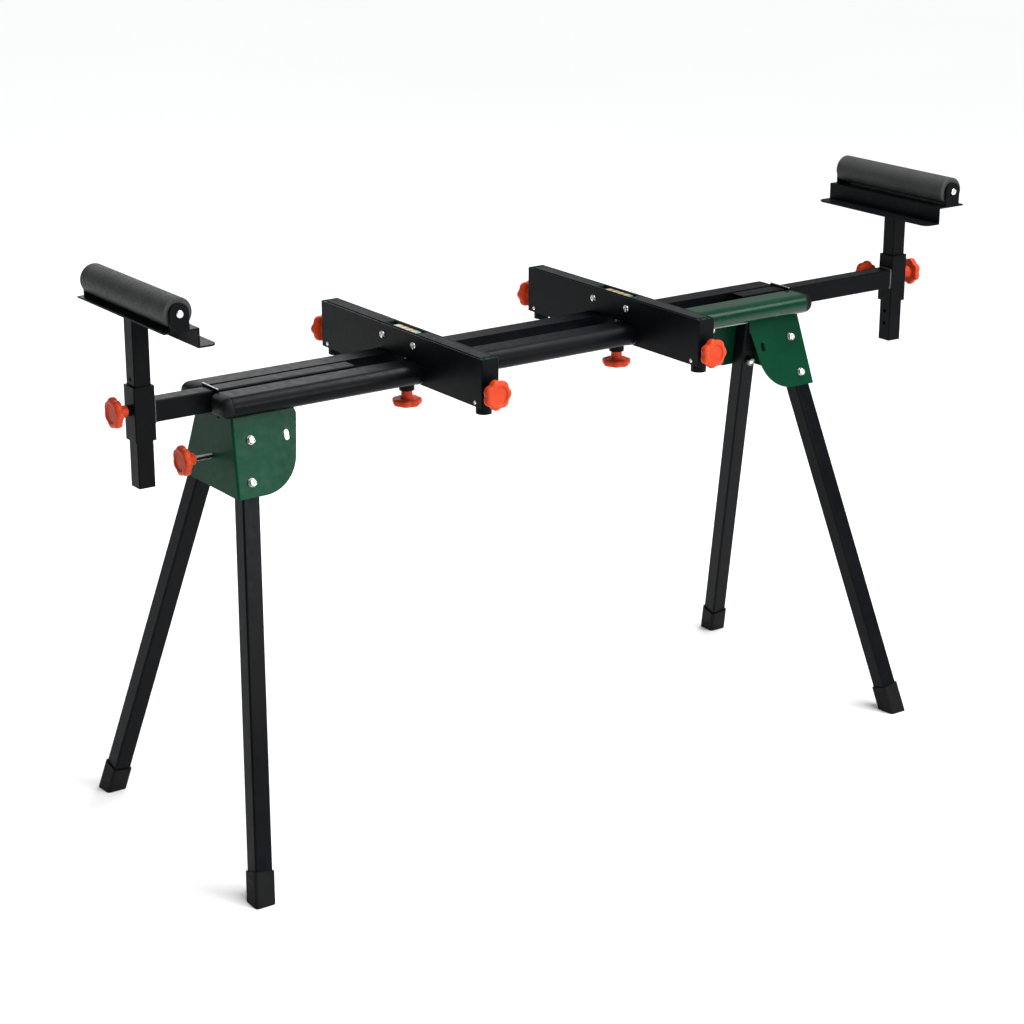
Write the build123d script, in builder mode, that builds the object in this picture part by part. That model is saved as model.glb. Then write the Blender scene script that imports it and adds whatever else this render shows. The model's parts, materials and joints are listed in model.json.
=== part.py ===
from build123d import *
import os
from math import atan, cos, degrees, sin, sqrt

os.makedirs("parts", exist_ok=True)

# A folding stand for a mitre saw, opened out: two long rails on four splayed legs,
# two cross-bars that slide along the rails, and an extension arm with a work roller
# at each end. Millimetres, +Z up, X along the rails, front at -Y. The origin is on
# the floor under the middle of the stand as it is set: the right arm is pulled out
# further than the left one, so the rails' own middle is at stand_x.

# --- reach of the two arms as set (roller post axis from the rails' middle) ---------
post_reach = {"left": 655.0, "right": 798.0}
stand_x = -(post_reach["right"] - post_reach["left"]) / 2

# --- rails ---------------------------------------------------------------------------
rail_top = 700.6
rail_height = 31.4
rail_inner_y = 23.0
rail_outer_y = 70.4
rail_wall = 1.8
rail_half = 540.0
cap_rim = 3.5
cap_reach = 16.0
cap_inset = 7.5
cap_plug = 18.0
cap_plug_gap = 0.1
sleeve_wall = 0.6
sleeve_start = 200.0
sleeve_rise = 1.5
rail_bottom = rail_top - rail_height
rail_round = rail_height / 2
rail_flat_y = rail_outer_y - rail_round
rail_mid_z = rail_top - rail_round

# --- legs ------------------------------------------------------------------------------
pivot_x = 512.5
pivot_y = 46.0
pivot_z = 629.0
foot_x = 618.0
foot_y = 238.0
leg_side = 28.0
leg_wall = 1.8
leg_corner = 3.0
leg_over_pivot = 17.0
leg_end_gap = 12.0
boot_side = 33.0
boot_corner = 5.0
boot_height = 46.0
boot_gap = 0.1
stop_drop = 61.4
stop_slot = 8.8
stop_slot_sweep = 24.0
store_point = {"left": (-60.5, -2.0), "right": (-60.0, -8.3)}
slot_width = 9.0
slot_height = 16.0

# --- leg brackets ------------------------------------------------------------------
sheet = 2.5
plate_gap = 0.6
bracket_top = 667.0
bracket_bottom = 555.0
fold_top_x = 537.0
fold_bottom_x = 548.0
plate_in_top = -84.0
plate_in_bottom = -60.0
plate_out_top = 20.0
plate_out_bottom = 31.0
wrap_start_x = 528.5
nose_radius = 62.0
corner_radius = 13.0
fold_radius = 3.5
flange_x = 433.0
flange_half = 52.0
lock_z = 600.5
lock_hole_radius = 4.3

# --- extension arms ----------------------------------------------------------------
arm_width = 27.3
arm_top = 702.0
arm_bottom = 669.7
arm_corner = 2.0
arm_length = 350.0
tube_wall = 2.0
guide_length = 90.0
guide_top = 692.0
guide_half = 22.9
guide_gap = 0.35
end_plate_top = 705.5
end_plate_bottom = 662.0
end_plate_half = 22.8

# --- collars, posts and rollers ----------------------------------------------------
collar_side = 33.0
collar_hole = 26.9
collar_top = 725.5
collar_bottom = 645.0
nut_boss_radius = 8.0
nut_boss_depth = 5.0
post_side = 26.3
post_bottom = 575.0
post_top = 828.8
post_hole_radius = 3.25
post_low_holes = (30.0, 51.0)
post_high_hole = 160.0
cradle_half = 133.0
cradle_outboard = 25.0
cradle_inboard = 30.0
lip_bottom = 805.0
lip_end = 58.0
lip_corner = 12.0
ear_half = 15.0
ear_sheet = 3.0
roller_z = 855.0
roller_radius = 22.4
roller_core = 15.0
roller_wall = 2.0
roller_half = 128.0
roller_disc = 8.0
roller_end_gap = 1.0
axle_radius = 4.0
axle_head_radius = 5.5
axle_head = 3.2

# --- cross-bars --------------------------------------------------------------------
bar_x = {"left": -204.0, "right": 198.0}
bar_width = 30.3
bar_half = 223.4
bar_top = 742.0
bar_bottom = 668.8
bar_wall = 2.0
bar_clear = 1.2
channel_top = 741.0
channel_bottom = 715.0
channel_side_gap = 0.1
channel_wall = 2.0
grip_top = 742.8
grip_width = 21.0
grip_end_gap = 12.0
window_half = 45.0
window_width = 17.0
tray_floor = 733.0
tray_wall = 1.5
level_half = 31.0
level_width = 16.4
level_top = 740.6
socket_y = 206.0
socket_radius = 12.0
socket_bore = 6.0
socket_bottom = 657.0
bar_screw_radius = 3.0
bar_screw_y = 43.0
bar_screw_z = 725.0
bar_screw_head = 3.2
rivet_radius = 3.2
rivet_z = 675.5
rivet_head = 1.4
bridge_bottom = 703.0
bridge_top = 713.0
bridge_half = 30.0
clamp_width = 30.0
clamp_half = 45.0
clamp_top = 668.3
clamp_sheet = 4.0
spacer_radius = 12.0
spacer_bottom = 645.0

# --- screws and knobs --------------------------------------------------------------
screw_radius = 4.0
thread_gap = 0.05
screw_clear = 0.3
head_radius = 5.6
head_height = 5.0
washer_radius = 8.0
washer_height = 1.5
nut_flats = 13.0
nut_height = 6.5
nut_gap = 0.4
knob_lobe_ring = 17.2
knob_lobe_radius = 6.0
knob_core_radius = 20.6
knob_notch_radius = 4.0
knob_lobes = 7
knob_body = 11.5
knob_edge = 2.4
knob_dish_radius = 14.0
knob_dish_depth = 1.6
neck_radius = 9.0
collar_knob_z = 690.0
collar_knob_mid = 41.0
arm_knob_x = 772.0
arm_knob_mid = 40.0
arm_knob_z = 686.0
end_knob_mid = 241.0
end_knob_z = 692.0
lock_rod_start = 534.0
lock_neck = 19.0
lock_knob_mid = {"left": 595.0, "right": 574.5}
clamp_knob_mid = 626.5
touch_gap = 0.3

sides = {"left": -1, "right": 1}
ends = {"front": -1, "rear": 1}

# Each leg leans outward along X and along Y, so its plate leans back by the Y part.
lean_x = (foot_x - pivot_x) / pivot_z
lean_y = (foot_y - pivot_y) / pivot_z
splay = atan(lean_y)
rake = atan(lean_x * cos(splay))
leg_reach = pivot_z * sqrt(1 + lean_x**2 + lean_y**2)
plate_inner = leg_side / 2 + plate_gap
plate_outer = plate_inner + sheet
stop_point = (stop_drop * sin(rake), -stop_drop * cos(rake))


# =========================== shared shapes ===========================
def save(piece, name):
    """Names a finished piece and writes it as one STEP file."""
    piece.part.label = name
    export_step(piece.part, f"parts/{name}.step")


def across(x):
    """The plane across the rails at x from their middle, with its own axes along +Y and +Z."""
    return Plane(origin=(stand_x + x, 0, 0), x_dir=(0, 1, 0), z_dir=(1, 0, 0))


def block(x, y, z, mode=Mode.ADD):
    """A box between a pair of limits along each axis, X measured from the rails' middle."""
    middle = (stand_x + (x[0] + x[1]) / 2, (y[0] + y[1]) / 2, (z[0] + z[1]) / 2)
    with Locations(middle):
        Box(abs(x[1] - x[0]), abs(y[1] - y[0]), abs(z[1] - z[0]), mode=mode)


def rod(start, along, radius, length, mode=Mode.ADD):
    """A round bar or hole from a start point in a direction."""
    with BuildSketch(Plane(origin=start, z_dir=along)) as circle:
        Circle(radius)
    extrude(circle.sketch, amount=length, mode=mode)


def hex_nut(start, along, flats, height, bore):
    """A six-sided nut from its seat outward, bored to its screw."""
    with BuildSketch(Plane(origin=start, z_dir=along)) as nut:
        RegularPolygon(flats / 2, 6, major_radius=False)
        Circle(bore, mode=Mode.SUBTRACT)
    extrude(nut.sketch, amount=height)


def rail_shape(sy, grow=0.0):
    """The rail's section: flat inside and on top, half round outside; drawn in Y and Z."""
    low = rail_bottom - grow
    high = rail_top + grow
    with BuildSketch() as shape:
        with BuildLine():
            Polyline((sy * rail_flat_y, high), (sy * (rail_inner_y - grow), high),
                     (sy * (rail_inner_y - grow), low), (sy * rail_flat_y, low))
            ThreePointArc((sy * rail_flat_y, low), (sy * (rail_outer_y + grow), rail_mid_z),
                          (sy * rail_flat_y, high))
        make_face()
    return shape.sketch


def plate_plane(side, end, offset=0.0):
    """The plane through a leg's pivot along its bracket plate, moved outward by an offset.
    Its own x points outboard along the rails and its own y points up the plate."""
    sx = sides[side]
    sy = ends[end]
    outward = Vector(0, sy * cos(splay), sin(splay))
    origin = Vector(stand_x + sx * pivot_x, sy * pivot_y, pivot_z) + outward * offset
    return Plane(origin=origin, x_dir=(sx, 0, 0), z_dir=outward * (-sx * sy))


def plate_point(side, end, local, offset):
    """A point given along a leg's bracket plate, at an offset outward from the leg's axis."""
    return plate_plane(side, end, offset).from_local_coords(Vector(local[0], local[1], 0))


def plate_out(end):
    """The direction square to a leg's bracket plate, away from the stand."""
    return (0, ends[end] * cos(splay), sin(splay))


def leg_plane(side, end, along):
    """The plane across a leg, at a distance down its axis from the pivot; it faces down the leg."""
    sx = sides[side]
    sy = ends[end]
    down = Vector(sx * lean_x, sy * lean_y, -1).normalized()
    outward = Vector(0, sy * cos(splay), sin(splay))
    origin = Vector(stand_x + sx * pivot_x, sy * pivot_y, pivot_z) + down * along
    return Plane(origin=origin, x_dir=outward, z_dir=down)


with BuildPart() as knob_star:
    with BuildSketch(Plane.XY.offset(-knob_body / 2)):
        Circle(knob_core_radius)
        with PolarLocations(knob_lobe_ring, knob_lobes):
            Circle(knob_lobe_radius)
        fillet(vertices(), radius=knob_notch_radius)
    extrude(amount=knob_body)
    fillet(faces().sort_by(Axis.Z)[-1].edges(), radius=knob_edge)
    chamfer(faces().sort_by(Axis.Z)[0].edges(), length=1.0)
    rod((0, 0, knob_body / 2), (0, 0, -1), knob_dish_radius, knob_dish_depth, Mode.SUBTRACT)


def star_knob(middle, outward, neck_end, stud_end):
    """A moulded star knob: its star's middle, the way it faces, and how far back
    from that middle its neck and its screw reach."""
    facing = Plane(origin=middle, z_dir=outward)
    add(knob_star.part.moved(facing.location))
    back = -Vector(*outward)
    shoulder = Vector(*middle) + back * (knob_body / 2 - 1.5)
    rod(shoulder, back, neck_radius, neck_end - knob_body / 2 + 1.5)
    if stud_end > neck_end:
        rod(Vector(*middle) + back * (neck_end - 1.0), back, screw_radius, stud_end - neck_end + 1.0)


# =========================== rails, caps and green sleeve ===========================
for end, sy in ends.items():
    with BuildPart() as rail:
        with BuildSketch(across(-rail_half)):
            add(rail_shape(sy))
            add(rail_shape(sy, -rail_wall), mode=Mode.SUBTRACT)
        extrude(amount=2 * rail_half)
    save(rail, f"{end}_rail")

with BuildPart() as front_rail_sleeve:
    with BuildSketch(across(sleeve_start)):
        add(rail_shape(-1, sleeve_wall))
        add(rail_shape(-1), mode=Mode.SUBTRACT)
        with Locations((-rail_inner_y, rail_bottom + sleeve_rise)):
            Rectangle(2 * rail_outer_y, rail_height, align=(Align.CENTER, Align.MAX), mode=Mode.SUBTRACT)
        with Locations((-rail_inner_y, rail_mid_z)):
            Rectangle(rail_height, 2 * rail_height, align=(Align.MIN, Align.CENTER), mode=Mode.SUBTRACT)
    extrude(amount=rail_half - sleeve_start)
save(front_rail_sleeve, "front_rail_sleeve")

with BuildPart() as rail_end_caps:
    for sx in sides.values():
        for sy in ends.values():
            with BuildSketch(across(sx * rail_half)):
                add(rail_shape(sy))
            extrude(amount=sx * cap_rim)
            with BuildSketch(across(sx * (rail_half + cap_rim))):
                add(rail_shape(sy))
            with BuildSketch(across(sx * (rail_half + cap_reach))):
                add(rail_shape(sy, -cap_inset))
            loft()
            with BuildSketch(across(sx * rail_half)):
                add(rail_shape(sy, -rail_wall - cap_plug_gap))
            extrude(amount=-sx * cap_plug)
save(rail_end_caps, "rail_end_caps")

# =========================== leg brackets ===========================
rise = 1 / cos(splay)
plate_top = (bracket_top - pivot_z) * rise
plate_bottom = (bracket_bottom - pivot_z) * rise - plate_outer * sin(splay) * rise
web_lean = (fold_bottom_x - fold_top_x) / (bracket_top - bracket_bottom)


def wrap_shape(inset, z_low, z_high):
    """The bracket's section across the rails: straight sides that spread downward."""
    with BuildSketch() as shape:
        with BuildLine():
            half = [pivot_y + (plate_outer - inset) * rise + (pivot_z - z) * lean_y for z in (z_low, z_high)]
            Polyline((-half[0], z_low), (half[0], z_low), (half[1], z_high), (-half[1], z_high), close=True)
        make_face()
    return shape.sketch


for side, sx in sides.items():
    web_out = (sx, 0, web_lean)
    web_plane = Plane(origin=(stand_x + sx * fold_top_x, 0, bracket_top), z_dir=web_out)
    with BuildPart() as wrap_hollow:
        with BuildSketch(across(sx * (wrap_start_x - sheet))):
            add(wrap_shape(sheet, bracket_bottom - sheet, bracket_top + sheet))
        extrude(amount=sx * (fold_bottom_x - wrap_start_x + 2 * sheet))
        split(bisect_by=web_plane.offset(-sheet), keep=Keep.BOTTOM)
    with BuildPart() as bracket:
        with BuildSketch(across(sx * wrap_start_x)):
            add(wrap_shape(0, bracket_bottom, bracket_top))
        extrude(amount=sx * (fold_bottom_x - wrap_start_x + sheet))
        split(bisect_by=web_plane, keep=Keep.BOTTOM)
        web_edges = faces().sort_by_distance(web_plane.origin)[0].edges()
        fillet(web_edges.filter_by(Axis.Y, reverse=True), radius=fold_radius)
        add(wrap_hollow.part, mode=Mode.SUBTRACT)
        for end, sy in ends.items():
            with BuildSketch(plate_plane(side, end, plate_inner)) as plate:
                with BuildLine():
                    Polyline((plate_out_top, plate_top), (plate_out_bottom, plate_bottom),
                             (plate_in_bottom, plate_bottom), (plate_in_top, plate_top), close=True)
                make_face()
                inboard = plate.vertices().sort_by(Axis.X)
                fillet(inboard[1], radius=nose_radius)
                inboard = plate.vertices().sort_by(Axis.X)
                fillet(inboard[0], radius=corner_radius)
            extrude(amount=-sx * sy * sheet)
        split(bisect_by=Plane.XY.offset(bracket_bottom), keep=Keep.TOP)
        split(bisect_by=Plane.XY.offset(bracket_top), keep=Keep.BOTTOM)
        block((sx * flange_x, sx * fold_top_x), (-flange_half, flange_half), (bracket_top - touch_gap, rail_bottom))
        for end, sy in ends.items():
            for hole in ((0, 0), stop_point):
                rod(plate_point(side, end, hole, plate_inner - 1), plate_out(end), screw_radius + screw_clear,
                    sheet + 2, Mode.SUBTRACT)
            with BuildSketch(plate_plane(side, end, plate_inner - 1)):
                with Locations(store_point[side]):
                    SlotOverall(slot_height, slot_width, rotation=90)
            extrude(amount=-sx * sy * (sheet + 2), mode=Mode.SUBTRACT)
        rod((stand_x + sx * wrap_start_x, 0, lock_z), (sx, 0, 0), lock_hole_radius, boot_side, Mode.SUBTRACT)
    save(bracket, f"{side}_leg_bracket")

# =========================== legs and feet ===========================
for side, sx in sides.items():
    for end, sy in ends.items():
        with BuildPart() as leg:
            with BuildSketch(leg_plane(side, end, -leg_over_pivot)):
                RectangleRounded(leg_side, leg_side, leg_corner)
                inside = leg_side - 2 * leg_wall
                RectangleRounded(inside, inside, leg_corner - leg_wall, mode=Mode.SUBTRACT)
            extrude(amount=leg_over_pivot + leg_reach - leg_end_gap)
            rod(plate_point(side, end, (0, 0), -leg_side), plate_out(end), screw_radius + thread_gap,
                2 * leg_side, Mode.SUBTRACT)
            with BuildSketch(plate_plane(side, end, -leg_side)):
                start = degrees(rake) - 90
                with BuildLine():
                    near_arc = CenterArc((0, 0), stop_drop - stop_slot / 2, start, stop_slot_sweep)
                    far_arc = CenterArc((0, 0), stop_drop + stop_slot / 2, start, stop_slot_sweep)
                    Line(near_arc @ 0, far_arc @ 0)
                    Line(near_arc @ 1, far_arc @ 1)
                make_face()
                with Locations(stop_point):
                    Circle(stop_slot / 2)
            extrude(amount=-sx * sy * 2 * leg_side, mode=Mode.SUBTRACT)
        save(leg, f"{end}_{side}_leg")

        with BuildPart() as foot:
            with BuildSketch(leg_plane(side, end, leg_reach - boot_height)):
                RectangleRounded(boot_side, boot_side, boot_corner)
            extrude(amount=2 * boot_height)
            with BuildSketch(leg_plane(side, end, leg_reach - boot_height)):
                RectangleRounded(leg_side + 2 * boot_gap, leg_side + 2 * boot_gap, leg_corner)
            extrude(amount=boot_height - leg_end_gap, mode=Mode.SUBTRACT)
            split(bisect_by=Plane.XY, keep=Keep.TOP)
        save(foot, f"{end}_{side}_foot")

# =========================== bolts and nuts of the leg joints ===========================
with BuildPart() as leg_bolts:
    for side in sides:
        for end in ends:
            for spot in ((0, 0), stop_point):
                seat = plate_point(side, end, spot, plate_outer)
                out = Vector(*plate_out(end))
                rod(seat, out, washer_radius, washer_height)
                rod(seat, out, head_radius, washer_height + head_height)
                grip = plate_outer + leg_side / 2 + nut_gap + nut_height + thread_gap
                rod(seat, -out, screw_radius, grip)
save(leg_bolts, "leg_bolts")

with BuildPart() as leg_nuts:
    for side, sx in sides.items():
        for end in ends:
            for spot in ((0, 0), stop_point):
                seat = plate_point(side, end, spot, -leg_side / 2 - nut_gap)
                hex_nut(seat, -Vector(*plate_out(end)), nut_flats, nut_height, screw_radius)
        web_x = sx * (fold_top_x + web_lean * (bracket_top - lock_z) - sheet - 1.0)
        hex_nut((stand_x + web_x, 0, lock_z), (-sx, 0, 0), nut_flats, nut_height, screw_radius + thread_gap)
save(leg_nuts, "leg_nuts")

# =========================== channel ends and arm guides ===========================
with BuildPart() as channel_end_plates:
    for sx in sides.values():
        block((sx * rail_half, sx * (rail_half + sheet)), (-end_plate_half, end_plate_half),
              (end_plate_bottom, end_plate_top))
        opening = arm_width / 2 + guide_gap
        block((sx * (rail_half - sheet), sx * (rail_half + 2 * sheet)), (-opening, opening),
              (arm_bottom - touch_gap, arm_top + touch_gap), Mode.SUBTRACT)
save(channel_end_plates, "channel_end_plates")

with BuildPart() as arm_guides:
    for sx in sides.values():
        block((sx * (rail_half - guide_length), sx * rail_half), (-guide_half, guide_half), (rail_bottom, guide_top))
        opening = arm_width / 2 + guide_gap
        block((sx * (rail_half - 2 * guide_length), sx * (rail_half + sheet)), (-opening, opening),
              (rail_bottom - sheet, arm_top), Mode.SUBTRACT)
save(arm_guides, "arm_guides")

# =========================== arms, collars, posts and rollers ===========================
for side, sx in sides.items():
    post_x = sx * post_reach[side]
    arm_z = (arm_top + arm_bottom) / 2
    with BuildPart() as arm:
        with BuildSketch(across(post_x - sx * arm_length)):
            with Locations((0, arm_z)):
                RectangleRounded(arm_width, arm_top - arm_bottom, arm_corner)
                Rectangle(arm_width - 2 * tube_wall, arm_top - arm_bottom - 2 * tube_wall, mode=Mode.SUBTRACT)
        extrude(amount=sx * (arm_length - collar_side / 2))
        if side == "right":
            knob_seat = (stand_x + arm_knob_x, arm_width / 2, arm_knob_z)
            rod(knob_seat, (0, 1, 0), nut_boss_radius, nut_boss_depth)
            rod((stand_x + arm_knob_x, 0, arm_knob_z), (0, 1, 0), screw_radius + thread_gap, arm_width, Mode.SUBTRACT)
    save(arm, f"{side}_arm_tube")

    post_axis = stand_x + post_x
    with BuildPart() as collar:
        with BuildSketch(Plane(origin=(post_axis, 0, collar_bottom))):
            RectangleRounded(collar_side, collar_side, arm_corner)
            Rectangle(collar_hole, collar_hole, mode=Mode.SUBTRACT)
        extrude(amount=collar_top - collar_bottom)
        rod((post_axis + sx * collar_side / 2, 0, collar_knob_z), (sx, 0, 0), nut_boss_radius, nut_boss_depth)
        rod((post_axis + sx * (collar_hole / 2 - 1), 0, collar_knob_z), (sx, 0, 0), screw_radius + thread_gap,
            collar_side, Mode.SUBTRACT)
    save(collar, f"{side}_collar")

    with BuildPart() as post:
        with BuildSketch(Plane(origin=(post_axis, 0, post_bottom))):
            RectangleRounded(post_side, post_side, arm_corner)
            Rectangle(post_side - 2 * tube_wall, post_side - 2 * tube_wall, mode=Mode.SUBTRACT)
        extrude(amount=post_top - post_bottom)
        for height in post_low_holes:
            rod((post_axis, 0, post_bottom + height), (-sx, 0, 0), post_hole_radius, post_side, Mode.SUBTRACT)
        rod((post_axis, 0, post_bottom + post_high_hole), (sx, 0, 0), post_hole_radius, post_side, Mode.SUBTRACT)
    save(post, f"{side}_post")

    with BuildPart() as cradle:
        block((post_x - sx * cradle_inboard, post_x + sx * cradle_outboard), (-cradle_half, cradle_half),
              (post_top, post_top + sheet))
        block((post_x - sx * cradle_inboard, post_x - sx * (cradle_inboard - sheet)), (-cradle_half, cradle_half),
              (lip_bottom, post_top + sheet))
        block((post_x - sx * lip_end, post_x - sx * (cradle_inboard - sheet)), (-cradle_half, cradle_half),
              (lip_bottom - sheet, lip_bottom))
        lip_corners = cradle.edges().filter_by(Axis.Z).group_by(Axis.X)[0 if side == "right" else -1]
        fillet(lip_corners, radius=lip_corner)
        for sy in ends.values():
            with BuildSketch(Plane(origin=(post_axis, sy * (cradle_half - ear_sheet), 0), x_dir=(1, 0, 0),
                                   z_dir=(0, -1, 0))):
                with Locations((0, roller_z)):
                    Circle(ear_half)
                with Locations((0, (post_top + roller_z) / 2)):
                    Rectangle(2 * ear_half, roller_z - post_top)
                with Locations((0, roller_z)):
                    Circle(axle_radius + thread_gap, mode=Mode.SUBTRACT)
            extrude(amount=-sy * ear_sheet)
    save(cradle, f"{side}_roller_bracket")

    with BuildPart() as axle:
        rod((post_axis, -cradle_half, roller_z), (0, 1, 0), axle_radius, 2 * cradle_half)
        for sy in ends.values():
            rod((post_axis, sy * cradle_half, roller_z), (0, sy, 0), axle_head_radius, axle_head)
        rims = axle.faces().filter_by(Axis.Y).sort_by(Axis.Y)
        fillet(rims[0].edges() + rims[-1].edges(), radius=axle_head / 2)
    save(axle, f"{side}_roller_axle")

    roller_plane = Plane(origin=(post_axis, roller_half + roller_end_gap, roller_z), x_dir=(1, 0, 0), z_dir=(0, -1, 0))
    tube_length = 2 * (roller_half + roller_end_gap)
    with BuildPart() as tube:
        with BuildSketch(roller_plane):
            Circle(roller_core)
            Circle(axle_radius + thread_gap, mode=Mode.SUBTRACT)
        extrude(amount=tube_length)
        with BuildSketch(roller_plane.offset(roller_disc)):
            Circle(roller_core - roller_wall)
        extrude(amount=tube_length - 2 * roller_disc, mode=Mode.SUBTRACT)
    save(tube, f"{side}_roller_tube")

    with BuildPart() as cover:
        with BuildSketch(roller_plane.offset(roller_end_gap)):
            Circle(roller_radius)
            Circle(roller_core, mode=Mode.SUBTRACT)
        extrude(amount=2 * roller_half)
        rims = cover.edges().filter_by(GeomType.CIRCLE).sort_by(SortBy.RADIUS)[-2:]
        fillet(rims, radius=1.5)
    save(cover, f"{side}_roller_sleeve")

# =========================== cross-bars ===========================
for side in sides:
    middle = bar_x[side]
    half = bar_width / 2

    def bar_block(x, y, z, mode=Mode.ADD):
        """A box on the cross-bar, with its X limits measured from the bar's middle."""
        block((middle + x[0], middle + x[1]), y, z, mode)

    with BuildPart() as shell:
        bar_block((-half, half), (-bar_half, bar_half), (bar_bottom, bar_top))
        vertical = shell.edges().filter_by(Axis.Z)
        fillet(vertical, radius=arm_corner)
        inner = half - bar_wall
        bar_block((-inner, inner), (bar_wall - bar_half, bar_half - bar_wall), (0, bar_top + sheet), Mode.SUBTRACT)
        with BuildSketch(across(middle - bar_width)):
            for sy in ends.values():
                add(rail_shape(sy, bar_clear))
            with Locations((0, rail_top + bar_clear)):
                Rectangle(2 * rail_flat_y, 2 * rail_height, align=(Align.CENTER, Align.MAX))
        extrude(amount=2 * bar_width, mode=Mode.SUBTRACT)
        for sy in ends.values():
            screw_start = (stand_x + middle - bar_width, sy * bar_screw_y, bar_screw_z)
            rod(screw_start, (1, 0, 0), bar_screw_radius + thread_gap, 2 * bar_width, Mode.SUBTRACT)
            rod((stand_x + middle, sy * socket_y, end_knob_z), (0, sy, 0), screw_radius + screw_clear,
                bar_half, Mode.SUBTRACT)
    save(shell, f"{side}_bar_shell")

    with BuildPart() as channel:
        wide = half - bar_wall - channel_side_gap
        reach = bar_half - bar_wall - channel_side_gap
        bar_block((-wide, wide), (-reach, reach), (channel_bottom, channel_top))
        bar_block((channel_wall - wide, wide - channel_wall), (-bar_half, bar_half),
                  (0, channel_top - channel_wall), Mode.SUBTRACT)
        tray_half = window_width / 2 + tray_wall
        bar_block((-tray_half, tray_half), (-window_half - tray_wall, window_half + tray_wall),
                  (tray_floor - tray_wall, channel_top))
        bar_block((-window_width / 2, window_width / 2), (-window_half, window_half),
                  (tray_floor, channel_top + sheet), Mode.SUBTRACT)
        for sy in ends.values():
            screw_start = (stand_x + middle - bar_width, sy * bar_screw_y, bar_screw_z)
            rod(screw_start, (1, 0, 0), bar_screw_radius + thread_gap, 2 * bar_width, Mode.SUBTRACT)
            socket_base = (stand_x + middle, sy * socket_y, socket_bottom)
            rod(socket_base, (0, 0, 1), socket_radius + channel_side_gap,
                channel_top - channel_wall - socket_bottom, Mode.SUBTRACT)
    save(channel, f"{side}_bar_channel")

    with BuildPart() as grip:
        strip_half = bar_half - grip_end_gap
        bar_block((-grip_width / 2, grip_width / 2), (-strip_half, strip_half), (channel_top, grip_top))
        bar_block((-window_width / 2, window_width / 2), (-window_half, window_half),
                  (channel_top - sheet, grip_top + sheet), Mode.SUBTRACT)
    save(grip, f"{side}_bar_grip")

    with BuildPart() as level:
        bar_block((-level_width / 2, level_width / 2), (-level_half, level_half), (tray_floor, level_top))
        fillet(level.faces().sort_by(Axis.Z)[-1].edges(), radius=1.5)
    save(level, f"{side}_bar_level")

    with BuildPart() as sockets:
        for sy in ends.values():
            base = (stand_x + middle, sy * socket_y, socket_bottom)
            height = channel_top - channel_wall - socket_bottom
            rod(base, (0, 0, 1), socket_radius, height)
            rod(base, (0, 0, 1), socket_bore, height, Mode.SUBTRACT)
            rod((stand_x + middle, sy * socket_y, end_knob_z), (0, sy, 0), screw_radius + thread_gap,
                2 * socket_radius, Mode.SUBTRACT)
    save(sockets, f"{side}_bar_sockets")

    with BuildPart() as screws:
        for sy in ends.values():
            near_face = (stand_x + middle - half, sy * bar_screw_y, bar_screw_z)
            far_face = (stand_x + middle + half, sy * bar_screw_y, bar_screw_z)
            rod(near_face, (-1, 0, 0), 2 * bar_screw_radius, bar_screw_head)
            rod(near_face, (1, 0, 0), bar_screw_radius, bar_width + bar_screw_head + 1)
            hex_nut(far_face, (1, 0, 0), 3.3 * bar_screw_radius, bar_screw_head, bar_screw_radius)
            for sx in sides.values():
                rivet_seat = (stand_x + middle + sx * half, sy * socket_y, rivet_z)
                rod(rivet_seat, (sx, 0, 0), rivet_radius, rivet_head)
    save(screws, f"{side}_bar_screws")

    with BuildPart() as clamp:
        bar_block((-clamp_width / 2, clamp_width / 2), (-clamp_half, clamp_half), (clamp_top - clamp_sheet, clamp_top))
        vertical = clamp.edges().filter_by(Axis.Z)
        fillet(vertical, radius=corner_radius / 2)
        rod((stand_x + middle, 0, clamp_top - clamp_sheet), (0, 0, -1), spacer_radius,
            clamp_top - clamp_sheet - spacer_bottom)
        rod((stand_x + middle, 0, spacer_bottom), (0, 0, 1), screw_radius + screw_clear, clamp_top, Mode.SUBTRACT)
        bar_block((channel_side_gap - inner, inner - channel_side_gap), (-bridge_half, bridge_half),
                  (bridge_bottom, bridge_top))
        rod((stand_x + middle, 0, bridge_bottom), (0, 0, 1), screw_radius + thread_gap, bridge_top, Mode.SUBTRACT)
    save(clamp, f"{side}_bar_clamp")

# =========================== knobs ===========================
for side, sx in sides.items():
    post_axis = stand_x + sx * post_reach[side]
    post_face = post_side / 2 + touch_gap
    with BuildPart() as collar_knob:
        star_knob((post_axis + sx * collar_knob_mid, 0, collar_knob_z), (sx, 0, 0),
                  collar_knob_mid - collar_side / 2 - nut_boss_depth - touch_gap, collar_knob_mid - post_face)
    save(collar_knob, f"{side}_collar_knob")

    with BuildPart() as lock_knob:
        star_knob((stand_x + sx * lock_knob_mid[side], 0, lock_z), (sx, 0, 0), lock_neck, 0)
    save(lock_knob, f"{side}_lock_knob")

    with BuildPart() as lock_rod:
        rod((stand_x + sx * lock_rod_start, 0, lock_z), (sx, 0, 0), screw_radius,
            lock_knob_mid[side] - lock_neck - lock_rod_start)
    save(lock_rod, f"{side}_lock_rod")

    for end, sy in ends.items():
        with BuildPart() as end_knob:
            star_knob((stand_x + bar_x[side], sy * end_knob_mid, end_knob_z), (0, sy, 0),
                      end_knob_mid - bar_half - touch_gap, end_knob_mid - socket_y - socket_bore - touch_gap)
        save(end_knob, f"{side}_bar_{end}_knob")

    with BuildPart() as clamp_knob:
        star_knob((stand_x + bar_x[side], 0, clamp_knob_mid), (0, 0, -1),
                  spacer_bottom - touch_gap - clamp_knob_mid, bridge_top - 2 - clamp_knob_mid)
    save(clamp_knob, f"{side}_bar_clamp_knob")

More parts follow.
